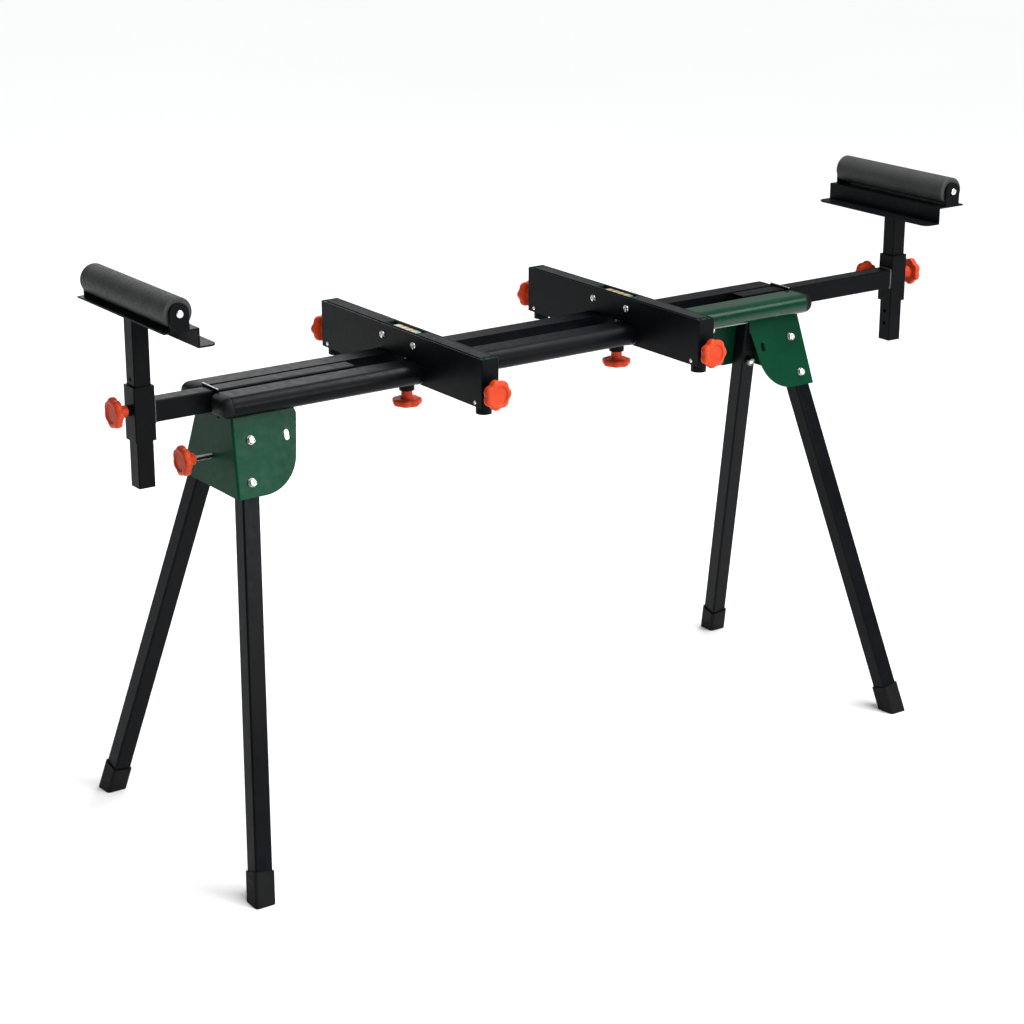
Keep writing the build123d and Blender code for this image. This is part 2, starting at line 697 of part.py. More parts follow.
with BuildPart() as right_arm_knob:
    star_knob((stand_x + arm_knob_x, arm_knob_mid, arm_knob_z), (0, 1, 0),
              arm_knob_mid - arm_width / 2 - nut_boss_depth - touch_gap, arm_knob_mid - arm_width / 2 + 1)
save(right_arm_knob, "right_arm_knob")
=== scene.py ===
import json
from math import cos, pi, radians, sin
import bmesh
import bpy
from mathutils import Matrix, Vector


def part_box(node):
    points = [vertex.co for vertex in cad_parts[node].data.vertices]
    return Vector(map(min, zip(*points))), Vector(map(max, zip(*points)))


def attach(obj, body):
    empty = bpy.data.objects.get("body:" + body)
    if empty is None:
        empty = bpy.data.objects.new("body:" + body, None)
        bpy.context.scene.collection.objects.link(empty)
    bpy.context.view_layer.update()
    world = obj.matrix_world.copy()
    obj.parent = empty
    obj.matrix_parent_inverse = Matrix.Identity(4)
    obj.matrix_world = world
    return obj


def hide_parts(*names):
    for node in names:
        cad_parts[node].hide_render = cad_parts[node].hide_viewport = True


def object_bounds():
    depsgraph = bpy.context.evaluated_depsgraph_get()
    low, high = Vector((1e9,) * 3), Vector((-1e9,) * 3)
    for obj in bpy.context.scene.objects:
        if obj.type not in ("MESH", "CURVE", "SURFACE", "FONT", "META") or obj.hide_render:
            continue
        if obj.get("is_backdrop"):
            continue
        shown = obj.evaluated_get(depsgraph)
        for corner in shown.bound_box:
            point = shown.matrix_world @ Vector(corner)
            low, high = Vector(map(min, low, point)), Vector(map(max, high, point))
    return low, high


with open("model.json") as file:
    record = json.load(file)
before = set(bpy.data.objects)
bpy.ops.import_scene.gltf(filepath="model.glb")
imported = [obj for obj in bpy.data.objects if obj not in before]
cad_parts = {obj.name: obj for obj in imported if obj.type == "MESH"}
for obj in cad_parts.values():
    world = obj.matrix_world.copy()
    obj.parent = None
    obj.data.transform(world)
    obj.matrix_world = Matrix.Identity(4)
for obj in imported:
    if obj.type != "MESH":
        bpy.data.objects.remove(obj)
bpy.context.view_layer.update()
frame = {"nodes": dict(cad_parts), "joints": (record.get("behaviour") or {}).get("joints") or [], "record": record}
nodes = frame["nodes"]
joints = {j["name"]: j for j in frame["joints"]}
mounts = {m["name"]: m for m in frame["record"]["mounts"]}
MM = 0.001
SIDES = (("left", -1), ("right", 1))
ENDS = (("front", -1), ("rear", 1))


# ============================== materials ==============================
class Surface:
    """One procedural material: a Principled shader, fed from object coordinates in metres."""

    def __init__(self, name, roughness, metallic=0.0, specular=0.5, coat=0.0, coat_roughness=0.1, edge=0.0):
        self.material = bpy.data.materials.new(name)
        self.material.use_nodes = True
        self.tree = self.material.node_tree
        self.shader = self.tree.nodes["Principled BSDF"]
        self.shader.inputs["Roughness"].default_value = roughness
        self.shader.inputs["Metallic"].default_value = metallic
        self.shader.inputs["Specular IOR Level"].default_value = specular
        self.shader.inputs["Coat Weight"].default_value = coat
        self.shader.inputs["Coat Roughness"].default_value = coat_roughness
        self.place = self.tree.nodes.new("ShaderNodeTexCoord").outputs["Object"]
        self.skin = None
        if edge:
            rounded = self.tree.nodes.new("ShaderNodeBevel")
            rounded.samples = 4
            rounded.inputs["Radius"].default_value = edge
            self.skin = rounded.outputs["Normal"]

    def link(self, source, target):
        self.tree.links.new(source, target)

    def stretched(self, scale):
        node = self.tree.nodes.new("ShaderNodeMapping")
        node.inputs["Scale"].default_value = scale
        self.link(self.place, node.inputs["Vector"])
        return node.outputs["Vector"]

    def noise(self, scale, detail=3.0, rough=0.5, where=None):
        node = self.tree.nodes.new("ShaderNodeTexNoise")
        node.inputs["Scale"].default_value = scale
        node.inputs["Detail"].default_value = detail
        node.inputs["Roughness"].default_value = rough
        self.link(where or self.place, node.inputs["Vector"])
        return node.outputs["Fac"]

    def cells(self, scale):
        node = self.tree.nodes.new("ShaderNodeTexVoronoi")
        node.inputs["Scale"].default_value = scale
        self.link(self.place, node.inputs["Vector"])
        return node.outputs["Distance"]

    def spread(self, value, low, high, out_low, out_high):
        node = self.tree.nodes.new("ShaderNodeMapRange")
        node.inputs["From Min"].default_value = low
        node.inputs["From Max"].default_value = high
        node.inputs["To Min"].default_value = out_low
        node.inputs["To Max"].default_value = out_high
        self.link(value, node.inputs["Value"])
        return node.outputs["Result"]

    def axis(self, index):
        node = self.tree.nodes.new("ShaderNodeSeparateXYZ")
        self.link(self.place, node.inputs["Vector"])
        return node.outputs[index]

    def facing(self, index):
        geometry = self.tree.nodes.new("ShaderNodeNewGeometry")
        node = self.tree.nodes.new("ShaderNodeSeparateXYZ")
        self.link(geometry.outputs["Normal"], node.inputs["Vector"])
        return node.outputs[index]

    def math(self, operation, a, b=0.0):
        node = self.tree.nodes.new("ShaderNodeMath")
        node.operation = operation
        self.link(a, node.inputs[0])
        if isinstance(b, (int, float)):
            node.inputs[1].default_value = b
        else:
            self.link(b, node.inputs[1])
        return node.outputs["Value"]

    def mix(self, factor, a, b):
        node = self.tree.nodes.new("ShaderNodeMix")
        node.data_type = "RGBA"
        self.link(factor, node.inputs[0])
        for socket, value in ((node.inputs[6], a), (node.inputs[7], b)):
            if isinstance(value, tuple):
                socket.default_value = (*value, 1.0)
            else:
                self.link(value, socket)
        return node.outputs[2]

    def colour(self, socket):
        self.link(socket, self.shader.inputs["Base Color"])

    def roughness(self, socket):
        self.link(socket, self.shader.inputs["Roughness"])

    def metal(self, socket):
        self.link(socket, self.shader.inputs["Metallic"])

    def bump(self, height, strength, distance):
        """Adds one layer of relief on top of the rounded edges and of the layers before it."""
        node = self.tree.nodes.new("ShaderNodeBump")
        node.inputs["Strength"].default_value = strength
        node.inputs["Distance"].default_value = distance
        self.link(height, node.inputs["Height"])
        if self.skin is not None:
            self.link(self.skin, node.inputs["Normal"])
        self.skin = node.outputs["Normal"]
        self.link(self.skin, self.shader.inputs["Normal"])


EDGE = 0.6 * MM         # how round a coated or moulded edge looks
PLATED_EDGE = 0.3 * MM  # the same on plated metal


def powder(name, dark, light, rough_low, rough_high, specular, scuff_and_sheen, painted_sheen_amount):
    """Powder coat: cloudy tone, orange-peel skin, fine grain, scuffs, and top faces painted lighter in patches as
    a painted highlight of the light from above.
    """
    s = Surface(name, rough_high, specular=specular, edge=EDGE)
    cloudy = s.spread(s.noise(7.0, 4.0), 0.35, 0.65, 0.0, 1.0)
    tone = s.mix(cloudy, dark, light)
    scuff = s.spread(s.noise(55.0, 6.0, 0.7, s.stretched((0.25, 1.0, 1.0))), 0.66, 0.74, 0.0, 0.35)
    tone = s.mix(scuff, tone, scuff_and_sheen)
    # Painted highlight: up-facing faces are mixed, in patches, towards a lighter colour that stands in for the
    # light from above.
    up = s.spread(s.facing(2), 0.55, 1.0, 0.0, painted_sheen_amount)
    painted_top_sheen = s.math("MULTIPLY", up, s.spread(s.noise(38.0, 5.0, 0.65), 0.3, 0.7, 0.35, 1.0))
    s.colour(s.mix(painted_top_sheen, tone, scuff_and_sheen))
    s.roughness(s.spread(s.noise(90.0, 4.0), 0.3, 0.7, rough_low, rough_high))
    s.bump(s.noise(420.0, 2.0), 0.10, 0.0004)
    s.bump(s.noise(1900.0, 2.0), 0.10, 0.00015)
    return s


BLACK_DARK, BLACK_LIGHT = (0.0010, 0.0015, 0.0024), (0.0020, 0.0028, 0.0040)
# The lighter colour for scuffs and for the painted highlight on top faces.
BLACK_SCUFF_AND_SHEEN = (0.014, 0.018, 0.022)
black = powder("black_powder_coat", BLACK_DARK, BLACK_LIGHT, 0.30, 0.42, 0.06, BLACK_SCUFF_AND_SHEEN, 0.15)
green = powder("green_powder_coat", (0.0001, 0.0260, 0.0105), (0.0003, 0.0400, 0.0170), 0.30, 0.42, 0.07,
               (0.030, 0.160, 0.100), 0.10)
sleeve_green = powder("green_sleeve_gloss", (0.0001, 0.0200, 0.0085), (0.0003, 0.0300, 0.0130), 0.10, 0.18,
                      0.30, (0.030, 0.130, 0.085), 0.05)


def moulded(name, dark, light, rough_low, rough_high, specular, grain, strength):
    """Moulded plastic or rubber: slight flow tone, fine spark-eroded grain."""
    s = Surface(name, rough_high, specular=specular, edge=EDGE)
    s.colour(s.mix(s.spread(s.noise(24.0, 5.0, 0.6), 0.3, 0.7, 0.0, 1.0), dark, light))
    s.roughness(s.spread(s.noise(140.0, 3.0), 0.3, 0.7, rough_low, rough_high))
    s.bump(s.noise(grain, 3.0, 0.6), strength, 0.0003)
    s.bump(s.noise(45.0, 2.0), 0.06, 0.0012)
    return s


plastic = moulded("black_plastic", (0.0030, 0.0033, 0.0038), (0.0062, 0.0066, 0.0072),
                  0.40, 0.54, 0.08, 1500.0, 0.22)
rubber = moulded("boot_rubber", (0.0026, 0.0027, 0.0030), (0.0060, 0.0061, 0.0064),
                 0.48, 0.66, 0.08, 900.0, 0.30)
orange = moulded("orange_plastic", (0.430, 0.036, 0.0090), (0.540, 0.054, 0.0150),
                 0.30, 0.42, 0.12, 1700.0, 0.10)
strip = moulded("grip_strip", (0.0110, 0.0130, 0.0140), (0.0210, 0.0240, 0.0255),
                0.55, 0.70, 0.10, 1100.0, 0.45)

foam = Surface("roller_cover", 0.62, specular=0.30)
speckle = foam.spread(foam.cells(700.0), 0.15, 0.60, 0.0, 1.0)
foam_tone = foam.mix(speckle, (0.0150, 0.0165, 0.0165), (0.0280, 0.0300, 0.0295))
foam_cloud = foam.spread(foam.noise(30.0, 4.0), 0.3, 0.7, 0.0, 0.6)
foam.colour(foam.mix(foam_cloud, foam_tone, (0.0380, 0.0400, 0.0395)))
foam.roughness(foam.spread(foam.noise(200.0, 3.0), 0.3, 0.7, 0.50, 0.70))
foam.bump(foam.cells(900.0), 0.35, 0.0004)
foam.bump(foam.noise(60.0, 3.0), 0.12, 0.0010)


def plated(name, dark, light, rough_low, rough_high, fine):
    """Bright metal: fine turned or brushed marks, faint stains."""
    s = Surface(name, rough_high, metallic=1.0, edge=PLATED_EDGE)
    s.colour(s.mix(s.spread(s.noise(260.0, 5.0, 0.65), 0.3, 0.7, 0.0, 1.0), dark, light))
    s.roughness(s.spread(s.noise(500.0, 4.0), 0.3, 0.7, rough_low, rough_high))
    s.bump(s.noise(fine, 3.0, 0.6), 0.12, 0.00012)
    return s


zinc = plated("zinc_plate", (0.62, 0.61, 0.58), (0.86, 0.86, 0.84), 0.16, 0.34, 2400.0)
# A darker copy of the zinc: painted shade for the washers and the leg nuts.
painted_shade_metal = plated("painted_shade_metal", (0.10, 0.10, 0.095), (0.22, 0.22, 0.21), 0.22, 0.40, 2000.0)

# The lock rods: a painted reflection, bright over and under and a dark band along the middle of each side, as a
# chrome rod would reflect its surroundings.
chrome = Surface("bright_rod", 0.22, metallic=0.45, specular=0.5, edge=PLATED_EDGE)
tilt = chrome.math("ABSOLUTE", chrome.facing(2))
painted_dark_band = chrome.spread(tilt, 0.45, 0.75, 1.0, 0.0)
painted_bright_tone = chrome.mix(chrome.noise(300.0, 4.0), (0.62, 0.63, 0.64), (0.86, 0.86, 0.87))
chrome.colour(chrome.mix(painted_dark_band, painted_bright_tone, (0.012, 0.013, 0.014)))
chrome.roughness(chrome.spread(chrome.noise(500.0, 3.0), 0.3, 0.7, 0.16, 0.28))
chrome.bump(chrome.noise(2600.0), 0.10, 0.0001)
weld_metal = powder("weld_bead", (0.020, 0.022, 0.024), (0.120, 0.125, 0.130), 0.30, 0.45, 0.30,
                    BLACK_SCUFF_AND_SHEEN, 0.10)

# The channel's end plates: black coat worn to bare metal along their upper edge.
ending = powder("worn_end_plate", BLACK_DARK, BLACK_LIGHT, 0.30, 0.42, 0.06, BLACK_SCUFF_AND_SHEEN, 0.30)
plate_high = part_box("channel_end_plates")[1].z
bare = ending.spread(ending.axis(2), plate_high - 1.1 * MM, plate_high - 0.3 * MM, 0.0, 1.0)
worn = ending.math("MULTIPLY", bare, ending.spread(ending.noise(120.0, 5.0), 0.35, 0.5, 0.3, 1.0))
coat = ending.shader.inputs["Base Color"].links[0].from_socket
ending.colour(ending.mix(worn, coat, (0.52, 0.53, 0.53)))
ending.metal(worn)

# The insert in each bar's window: tan with pale stripes across and a pale green edge.
insert_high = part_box("left_bar_level")[1]
insert = Surface("striped_insert", 0.34, specular=0.45, coat=0.25, coat_roughness=0.12)
wave = insert.tree.nodes.new("ShaderNodeTexWave")
wave.bands_direction = "Y"
wave.inputs["Scale"].default_value = 22.0
wave.inputs["Distortion"].default_value = 0.35
insert.link(insert.place, wave.inputs["Vector"])
bands = insert.spread(wave.outputs["Fac"], 0.45, 0.58, 0.0, 1.0)
tan_tone = insert.mix(insert.noise(60.0, 4.0), (0.190, 0.125, 0.060), (0.260, 0.175, 0.090))
striped = insert.mix(bands, tan_tone, (0.400, 0.330, 0.210))
from_end = insert.math("ABSOLUTE", insert.axis(1))
edge = insert.spread(from_end, insert_high.y - 5.0 * MM, insert_high.y - 3.5 * MM, 0.0, 1.0)
insert.colour(insert.mix(edge, striped, (0.060, 0.180, 0.100)))
insert.roughness(insert.spread(insert.noise(170.0), 0.3, 0.7, 0.26, 0.42))
insert.bump(insert.noise(900.0), 0.10, 0.0002)


# ============================== CAD nodes that keep their own shape ==============================
def dress(name, surface):
    """Gives a CAD node its material; its mesh stays as it is."""
    mesh = nodes[name].data
    mesh.materials.clear()
    mesh.materials.append(surface.material)
    for polygon in mesh.polygons:
        polygon.material_index = 0


for side in ("left", "right"):
    for end in ("front", "rear"):
        dress(f"{end}_{side}_leg", black)
        dress(f"{end}_{side}_foot", rubber)
    dress(f"{side}_leg_bracket", green)
    dress(f"{side}_arm_tube", black)
    dress(f"{side}_collar", black)
    dress(f"{side}_post", black)
    dress(f"{side}_roller_bracket", black)
    dress(f"{side}_roller_axle", zinc)
    dress(f"{side}_roller_tube", plastic)
    dress(f"{side}_roller_sleeve", foam)
    dress(f"{side}_bar_shell", black)
    dress(f"{side}_bar_channel", green)
    dress(f"{side}_bar_grip", strip)
    dress(f"{side}_bar_level", insert)
    dress(f"{side}_bar_sockets", black)
    dress(f"{side}_bar_clamp", black)
    dress(f"{side}_lock_rod", chrome)
dress("front_rail", black)
dress("rear_rail", black)
dress("front_rail_sleeve", sleeve_green)
dress("channel_end_plates", ending)
dress("arm_guides", plastic)
dress("leg_nuts", painted_shade_metal)


# ============================== mesh-code pieces ==============================
def turned_to(origin, axis):
    """A matrix whose Z runs along an axis from an origin."""
    rotation = Vector(axis).normalized().to_track_quat("Z", "Y").to_matrix().to_4x4()
    return Matrix.Translation(Vector(origin)) @ rotation


def rings_to_skin(bm, rings, material, closed=False):
    """Joins rings of points into a skin of quads, with both ends capped unless it closes on itself."""
    made = [[bm.verts.new(p) for p in ring] for ring in rings]
    pairs = list(zip(made, made[1:])) + ([(made[-1], made[0])] if closed else [])
    for a, b in pairs:
        count = len(a)
        for i in range(count):
            face = bm.faces.new((a[i], a[(i + 1) % count], b[(i + 1) % count], b[i]))
            face.material_index = material
    if not closed:
        bm.faces.new(list(reversed(made[0]))).material_index = material
        bm.faces.new(made[-1]).material_index = material


def lathe(bm, place, profile, segments, material=0):
    """A turned shape: (height, radius) pairs in millimetres, swept round the Z of a matrix."""
    turns = [2 * pi * i / segments for i in range(segments)]
    rings = []
    for height, radius in profile:
        rings.append([place @ (Vector((radius * cos(a), radius * sin(a), height)) * MM) for a in turns])
    rings_to_skin(bm, rings, material)


def finish_piece(name, bm, surfaces, body, replaced, sharp=38.0):
    """Turns a bmesh into a named piece that rides on a body and stands for its CAD nodes."""
    bmesh.ops.recalc_face_normals(bm, faces=bm.faces)
    mesh = bpy.data.meshes.new(name)
    bm.to_mesh(mesh)
    bm.free()
    for surface in surfaces:
        mesh.materials.append(surface.material)
    mesh.shade_smooth()
    mesh.set_sharp_from_angle(angle=radians(sharp))
    obj = bpy.data.objects.new(name, mesh)
    bpy.context.scene.collection.objects.link(obj)
    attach(obj, body)
    if replaced:
        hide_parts(*replaced)


# ---- star knobs: seven shallow lobes, a dished face, a neck and a threaded screw; millimetres
KNOB_SEGMENTS = 120
KNOB_LOBES = 7
KNOB_CORE = 20.6
KNOB_LOBE = 2.6
KNOB_MEAN = 21.6
KNOB_SHAPE = (
    # height from the star's middle, radial size, how much of the star shape shows
    (-5.60, 0.56, 0.0), (-5.75, 0.76, 0.55), (-5.55, 0.88, 0.92), (-4.9, 0.955, 1.0), (-3.6, 0.99, 1.0),
    (-1.5, 1.0, 1.0), (1.2, 1.0, 1.0), (2.9, 0.985, 1.0), (4.2, 0.945, 1.0), (5.1, 0.885, 0.97),
    (5.6, 0.82, 0.88), (5.75, 0.76, 0.66), (5.72, 0.715, 0.36), (5.5, 0.682, 0.12), (4.9, 0.662, 0.0),
    (4.2, 0.650, 0.0), (3.7, 0.620, 0.0), (3.55, 0.56, 0.0), (3.5, 0.45, 0.0), (3.6, 0.40, 0.0),
    (3.65, 0.22, 0.0),
)
NECK_END = {"collar": 19.2, "lock": 19.0, "bar_front": 17.3, "bar_rear": 17.3, "bar_clamp": 18.2, "arm": 21.0}
NECK_SHAPE = ((-9.5, 9.0), (-7.8, 9.4), (-6.4, 10.6), (-5.0, 11.2))
NECK_RADIUS = 8.6
NECK_ROUND = 0.6
SCREW_RADIUS = 4.0
SCREW_TIP_RADIUS = 3.0
SCREW_TIP = 0.6
THREAD_ROOT = 3.5
THREAD_PITCH = 1.25
THREAD_CREST = 0.45


def star_radius(angle, size, star):
    """The knob's radius at an angle: a star that fades into a circle as star goes to nought."""
    lobe = (0.5 + 0.5 * cos(KNOB_LOBES * angle)) ** 0.7
    return size * (star * (KNOB_CORE + KNOB_LOBE * lobe) + (1 - star) * KNOB_MEAN)


def screw_profile(reach, neck):
    """A threaded screw, from its tip to just inside the end of the knob's neck."""
    turns = max(2, int((reach - neck) / THREAD_PITCH))
    profile = [(-reach, SCREW_TIP_RADIUS)]
    for i in range(turns):
        start = -reach + SCREW_TIP + (reach - neck) * i / turns
        profile += [(start, SCREW_RADIUS), (start + THREAD_CREST, THREAD_ROOT)]
    return profile + [(-neck + 1.0, 3.8)]


for joint_name, joint in joints.items():
    if not joint_name.endswith("_knob_turn"):
        continue
    node = joint["child"]
    kind = next(k for k in NECK_END if node.endswith(f"{k}_knob"))
    middle, axis = Vector(joint["pos_m"]), Vector(joint["axis"])
    place = turned_to(middle, axis)
    bm = bmesh.new()
    angles = [2 * pi * i / KNOB_SEGMENTS for i in range(KNOB_SEGMENTS)]
    rings = []
    for height, size, star in KNOB_SHAPE:
        ring = []
        for a in angles:
            radius = star_radius(a, size, star)
            ring.append(place @ (Vector((radius * cos(a), radius * sin(a), height)) * MM))
        rings.append(ring)
    rings_to_skin(bm, rings, 0)
    neck = NECK_END[kind]
    lathe(bm, place, ((-neck, NECK_RADIUS - NECK_ROUND), (-neck + NECK_ROUND, NECK_RADIUS)) + NECK_SHAPE, 56)
    low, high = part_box(node)
    reach = max(abs((corner - middle).dot(axis)) for corner in (low, high)) / MM
    if kind != "lock" and reach > neck:
        lathe(bm, place, screw_profile(reach, neck), 28, 1)
    finish_piece(f"{node}_star", bm, (orange, zinc), node, (node,))

# ---- leg bolts: washer, flanged hex head with a socket in its top, plain shank; millimetres
STOP_DROP = 61.4
BOLT_SEAT = 17.1
BOLT_RADIUS = 4.0
HEAD_SEGMENTS = 60
HEX_FLAT = 0.93
WASHER = ((0.0, 4.5), (0.0, 6.8), (0.3, 7.0), (1.1, 7.0), (1.5, 6.7), (1.6, 4.5))
BOLT_HEAD = (
    # height over the seat, radius, how much of the hexagon shows
    (1.5, 5.8, 0.0), (2.4, 5.8, 0.0), (2.7, 5.6, 0.6), (3.0, 5.6, 1.0), (5.4, 5.6, 1.0), (5.9, 5.3, 0.7),
    (6.3, 4.6, 0.2), (6.5, 3.6, 0.0), (5.8, 3.0, 0.0), (4.5, 2.7, 0.0), (4.5, 0.8, 0.0),
)
SHANK = ((-20.9, 3.2), (-20.2, BOLT_RADIUS), (BOLT_SEAT + 1.6, BOLT_RADIUS))


def leg_bolt(bm, place):
    """One bolt with its washer, on an axis that starts in the middle of the leg."""
    lathe(bm, place, [(BOLT_SEAT + height, radius) for height, radius in WASHER], 48, 1)
    rings = []
    for height, size, hexed in BOLT_HEAD:
        ring = []
        for i in range(HEAD_SEGMENTS):
            a = 2 * pi * i / HEAD_SEGMENTS
            from_flat = (a + pi / 6) % (pi / 3) - pi / 6
            radius = size * (1.0 - hexed + hexed * HEX_FLAT / cos(from_flat))
            ring.append(place @ (Vector((radius * cos(a), radius * sin(a), BOLT_SEAT + height)) * MM))
        rings.append(ring)
    rings_to_skin(bm, rings, 0)
    lathe(bm, place, SHANK, 32)


bm = bmesh.new()
for side, sx in SIDES:
    for end, sy in ENDS:
        joint = joints[f"{end}_{side}_leg_fold"]
        pivot = Vector(joint["pos_m"])
        foot = Vector(mounts[f"floor_{end}_{side}"]["pos_m"])
        outward = Vector(joint["axis"]) * (sx * sy)
        down = (foot - pivot).normalized()
        for along in (0.0, STOP_DROP):
            leg_bolt(bm, turned_to(pivot + down * (along * MM), outward))
finish_piece("leg_bolts_hex", bm, (zinc, painted_shade_metal), "frame", ("leg_bolts",), 30.0)

# ---- weld beads where each arm meets its collar
ARM_HALF_WIDTH = 13.65 * MM
ARM_CORNER = 2.0 * MM
BEAD_STEP = 0.45 * MM
BEAD_OUT = 1.5 * MM
BEAD_ALONG = 1.9 * MM
BEAD_POINTS = 10


def arm_outline(face_x, middle_z, half_z):
    """The arm's rounded section where it meets the collar, as points about a bead step apart."""
    path = []
    for cy, cz, start in ((1, 1, 0.0), (-1, 1, 0.25), (-1, -1, 0.5), (1, -1, 0.75)):
        for k in range(5):
            a = 2 * pi * (start + 0.25 * k / 4)
            y = cy * (ARM_HALF_WIDTH - ARM_CORNER) + ARM_CORNER * cos(a)
            z = cz * (half_z - ARM_CORNER) + ARM_CORNER * sin(a)
            path.append(Vector((face_x, y, middle_z + z)))
    dense = []
    for a, b in zip(path, path[1:] + path[:1]):
        steps = max(1, int((b - a).length / BEAD_STEP))
        dense += [a.lerp(b, i / steps) for i in range(steps)]
    return dense


for side, sx in SIDES:
    low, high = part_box(f"{side}_arm_tube")
    face_x = low.x if sx < 0 else high.x
    middle_z = (low.z + high.z) / 2
    centre = Vector((face_x, 0, middle_z))
    inboard = Vector((-sx, 0, 0))
    bm = bmesh.new()
    rings = []
    for i, point in enumerate(arm_outline(face_x, middle_z, (high.z - low.z) / 2)):
        away = (point - centre).normalized()
        ripple = 1.0 + 0.13 * sin(i * 1.9) + 0.10 * sin(i * 0.37 + 1.0)
        rings.append([point + away * (BEAD_OUT * ripple * cos(t)) + inboard * (BEAD_ALONG * ripple * sin(t))
                      for t in [2 * pi * k / BEAD_POINTS for k in range(BEAD_POINTS)]])
    rings_to_skin(bm, rings, 0, closed=True)
    finish_piece(f"{side}_arm_weld", bm, (weld_metal,), f"{side}_arm", (), 80.0)

# ---- rail end caps: a rim as wide as the rail, then a dome over its end
CAP_CORNER = 3.0 * MM
CAP_RIM = 3.4 * MM
CAP_REACH = 12.4 * MM
CAP_DRAW_IN = 8.6 * MM


def rail_outline(rail, inset):
    """The rail's section, drawn in by an inset: a half-round outer side and a flat inner one."""
    low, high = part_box(rail)
    outward = -1 if low.y + high.y < 0 else 1
    middle_z = (low.z + high.z) / 2
    inner = min(abs(low.y), abs(high.y)) + inset
    flat_y = max(abs(low.y), abs(high.y)) - (high.z - low.z) / 2
    half = (high.z - low.z) / 2 - inset
    points = [(flat_y + half * cos(a), half * sin(a)) for a in [pi * (i / 24 - 0.5) for i in range(25)]]
    for up, start in ((1, 0.5), (-1, 1.0)):
        for i in range(5):
            a = pi * (start + 0.5 * i / 4)
            y = inner + CAP_CORNER + CAP_CORNER * cos(a)
            points.append((y, up * (half - CAP_CORNER) + CAP_CORNER * sin(a)))
    return [(outward * y, middle_z + z) for y, z in points]


bm = bmesh.new()
for rail in ("front_rail", "rear_rail"):
    low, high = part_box(rail)
    for end_x, sx in ((low.x, -1), (high.x, 1)):
        steps = [(0.0, 0.3 * MM), (0.3 * MM, 0.0), (CAP_RIM, 0.0)]
        for i in range(1, 9):
            turn = radians(9.5 * i)
            steps.append((CAP_RIM + CAP_REACH * sin(turn), CAP_DRAW_IN * (1 - cos(turn))))
        rings = [[Vector((end_x + sx * out, y, z)) for y, z in rail_outline(rail, inset)]
                 for out, inset in steps]
        rings_to_skin(bm, rings, 0)
finish_piece("rail_end_caps_domed", bm, (plastic,), "frame", ("rail_end_caps",), 50.0)

# ---- small dark screws at both ends of each bar's channel; millimetres
END_SCREW_SPREAD = 6.5
END_SCREW_INSET = 4.9
END_SCREW_SINK = 0.2
END_SCREW = ((0, 2.6), (0.6, 2.6), (1.0, 2.1), (1.1, 1.2), (0.6, 1.0), (0.6, 0.2))
for side, _ in SIDES:
    low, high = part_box(f"{side}_bar_channel")
    middle_x = (low.x + high.x) / 2
    seat_z = high.z - END_SCREW_SINK * MM
    bm = bmesh.new()
    for sy in (-1, 1):
        for offset in (-END_SCREW_SPREAD, END_SCREW_SPREAD):
            seat = (middle_x + offset * MM, sy * (high.y - END_SCREW_INSET * MM), seat_z)
            lathe(bm, turned_to(seat, (0, 0, 1)), END_SCREW, 24)
    finish_piece(f"{side}_bar_end_screws", bm, (plastic,), f"{side}_bar", ())

# ---- bar fixings: through-screws with domed heads and nuts, and rivets low at the ends; millimetres
BAR_SCREW_Y, BAR_SCREW_Z = 43.0, 725.0
RIVET_Y, RIVET_Z = 206.0, 675.5
SCREW_HEAD = (
    (-2.0, 3.0), (0, 3.0), (0, 6.0), (0.8, 6.0), (1.9, 5.4), (2.7, 4.0), (3.1, 2.2), (2.9, 1.6), (1.6, 1.4),
    (1.5, 0.2),
)
SCREW_NUT = ((0, 4.0), (0, 4.9), (2.6, 4.9), (3.1, 4.3), (3.2, 3.0), (4.0, 2.9), (4.2, 2.2))
SCREW_SHANK_RADIUS = 3.0
RIVET = ((0, 1.8), (0, 3.2), (0.5, 3.2), (1.0, 2.7), (1.4, 1.5), (1.2, 0.9), (0.6, 0.3))
for side, _ in SIDES:
    low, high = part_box(f"{side}_bar_shell")
    shank = ((1.0, SCREW_SHANK_RADIUS), ((high.x - low.x) / MM, SCREW_SHANK_RADIUS))
    bm = bmesh.new()
    for sy in (-1, 1):
        screw_y, screw_z = sy * BAR_SCREW_Y * MM, BAR_SCREW_Z * MM
        lathe(bm, turned_to((low.x, screw_y, screw_z), (-1, 0, 0)), SCREW_HEAD, 40)
        lathe(bm, turned_to((high.x, screw_y, screw_z), (1, 0, 0)), SCREW_NUT, 6)
        lathe(bm, turned_to((low.x, screw_y, screw_z), (1, 0, 0)), shank, 24)
        for face_x, outward in ((low.x, -1), (high.x, 1)):
            lathe(bm, turned_to((face_x, sy * RIVET_Y * MM, RIVET_Z * MM), (outward, 0, 0)), RIVET, 28)
    finish_piece(f"{side}_bar_fixings", bm, (zinc,), f"{side}_bar", (f"{side}_bar_screws",), 30.0)


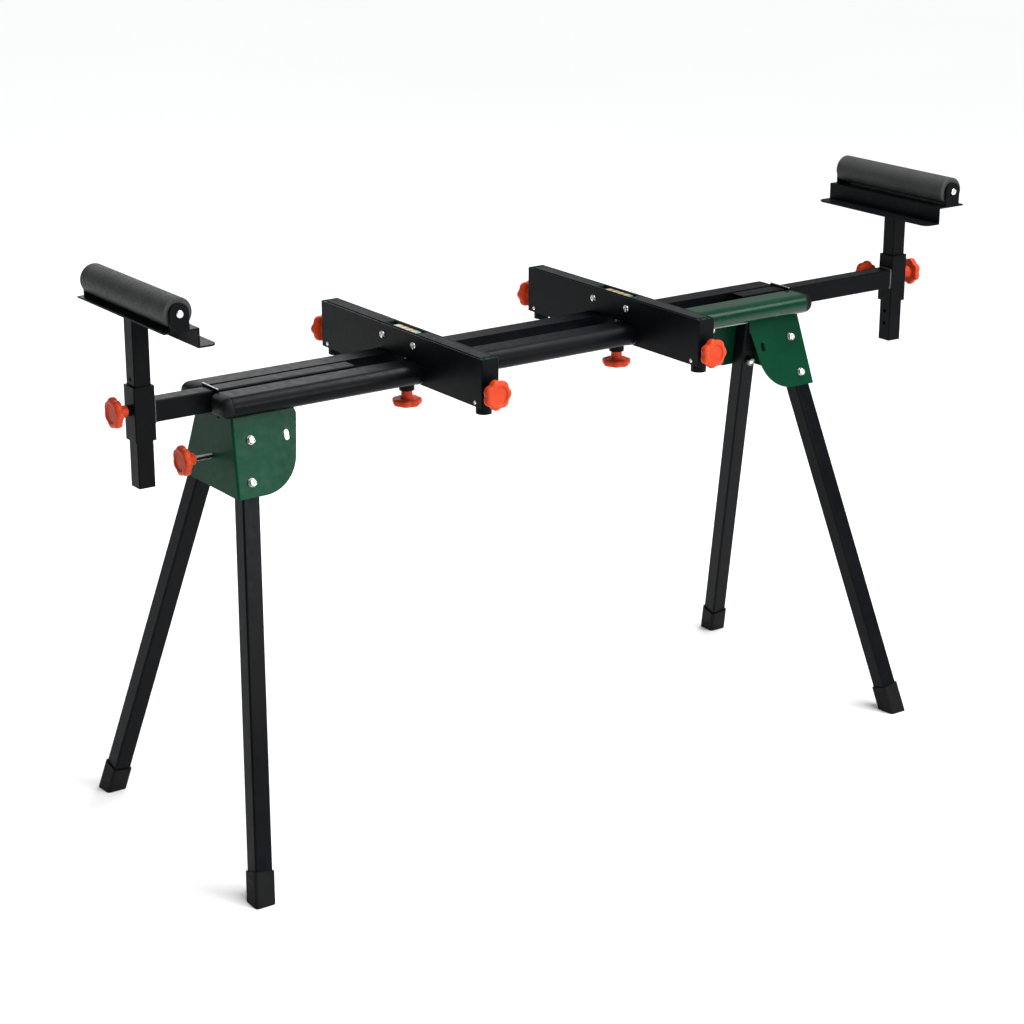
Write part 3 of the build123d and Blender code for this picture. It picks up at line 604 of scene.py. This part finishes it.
# ============================== floor, light and camera ==============================
floor_mesh = bpy.data.meshes.new("studio_floor")
bm = bmesh.new()
bmesh.ops.create_grid(bm, x_segments=1, y_segments=1, size=60.0)
bm.to_mesh(floor_mesh)
bm.free()
floor = bpy.data.objects.new("studio_floor", floor_mesh)
bpy.context.scene.collection.objects.link(floor)
floor.location = (0, 0, -0.2 * MM)
pale = Surface("studio_floor", 0.9, specular=0.05)
pale.colour(pale.mix(pale.noise(0.6), (0.90, 0.90, 0.90), (0.93, 0.93, 0.93)))
floor_mesh.materials.append(pale.material)
floor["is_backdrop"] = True

world = bpy.data.worlds.new("studio")
bpy.context.scene.world = world
world.use_nodes = True
world.node_tree.nodes["Background"].inputs["Color"].default_value = (0.97, 0.985, 1.0, 1.0)
world.node_tree.nodes["Background"].inputs["Strength"].default_value = 0.30


def hang(name, light, place, direction):
    """Puts a light in the scene, shining in a direction."""
    lamp = bpy.data.objects.new(name, light)
    bpy.context.scene.collection.objects.link(lamp)
    lamp.location = place
    lamp.rotation_mode = "QUATERNION"
    lamp.rotation_quaternion = Vector(direction).to_track_quat("-Z", "Y")


def softbox(name, place, target, width, height, power):
    """A soft rectangular lamp that faces a target."""
    light = bpy.data.lights.new(name, "AREA")
    light.shape = "RECTANGLE"
    light.size = width
    light.size_y = height
    light.energy = power
    hang(name, light, place, Vector(target) - Vector(place))


sun = bpy.data.lights.new("even_key", "SUN")
sun.energy = 3.0
sun.angle = radians(60.0)
hang("even_key", sun, (0, 0, 0), (-0.4, 1.0, -1.5))
softbox("overhead", (1.1, -0.1, 3.0), (0, 0, 0.6), 2.0, 0.5, 60)
softbox("front_glare", (0.8, -2.6, 1.3), (-0.2, -0.1, 0.6), 1.2, 0.8, 40)
softbox("back_rim", (0.6, 3.8, 2.2), (0, 0, 0.7), 3.0, 1.4, 30)

# The camera stands off the stand's front left corner and looks a little down: metres, degrees, mm.
CAMERA_PLACE = (-2.23272, -3.03825, 1.66172)
CAMERA_YAW, CAMERA_PITCH, CAMERA_ROLL = 33.812, -18.642, -0.385
SENSOR_WIDTH = 36.0
FOCAL_LENGTH = 86.5828
LENS_SHIFT_X, LENS_SHIFT_Y = 0.060547, 0.003027
camera_data = bpy.data.cameras.new("camera")
camera_data.sensor_width = SENSOR_WIDTH
camera_data.lens = FOCAL_LENGTH
camera_data.shift_x = LENS_SHIFT_X
camera_data.shift_y = LENS_SHIFT_Y
camera_data.clip_start = 0.05
camera_data.clip_end = 200.0
camera = bpy.data.objects.new("camera", camera_data)
bpy.context.scene.collection.objects.link(camera)
bpy.context.scene.camera = camera
yaw, pitch, roll = radians(CAMERA_YAW), radians(CAMERA_PITCH), radians(CAMERA_ROLL)
forward = Vector((sin(yaw) * cos(pitch), cos(yaw) * cos(pitch), sin(pitch)))
right = Vector((cos(yaw), -sin(yaw), 0))
up = right.cross(forward)
rolled_right = right * cos(roll) + up * sin(roll)
rolled_up = up * cos(roll) - right * sin(roll)
basis = Matrix((rolled_right, rolled_up, -forward)).transposed().to_4x4()
camera.matrix_world = Matrix.Translation(CAMERA_PLACE) @ basis
bpy.context.scene.view_settings.view_transform = "Standard"

low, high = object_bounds()
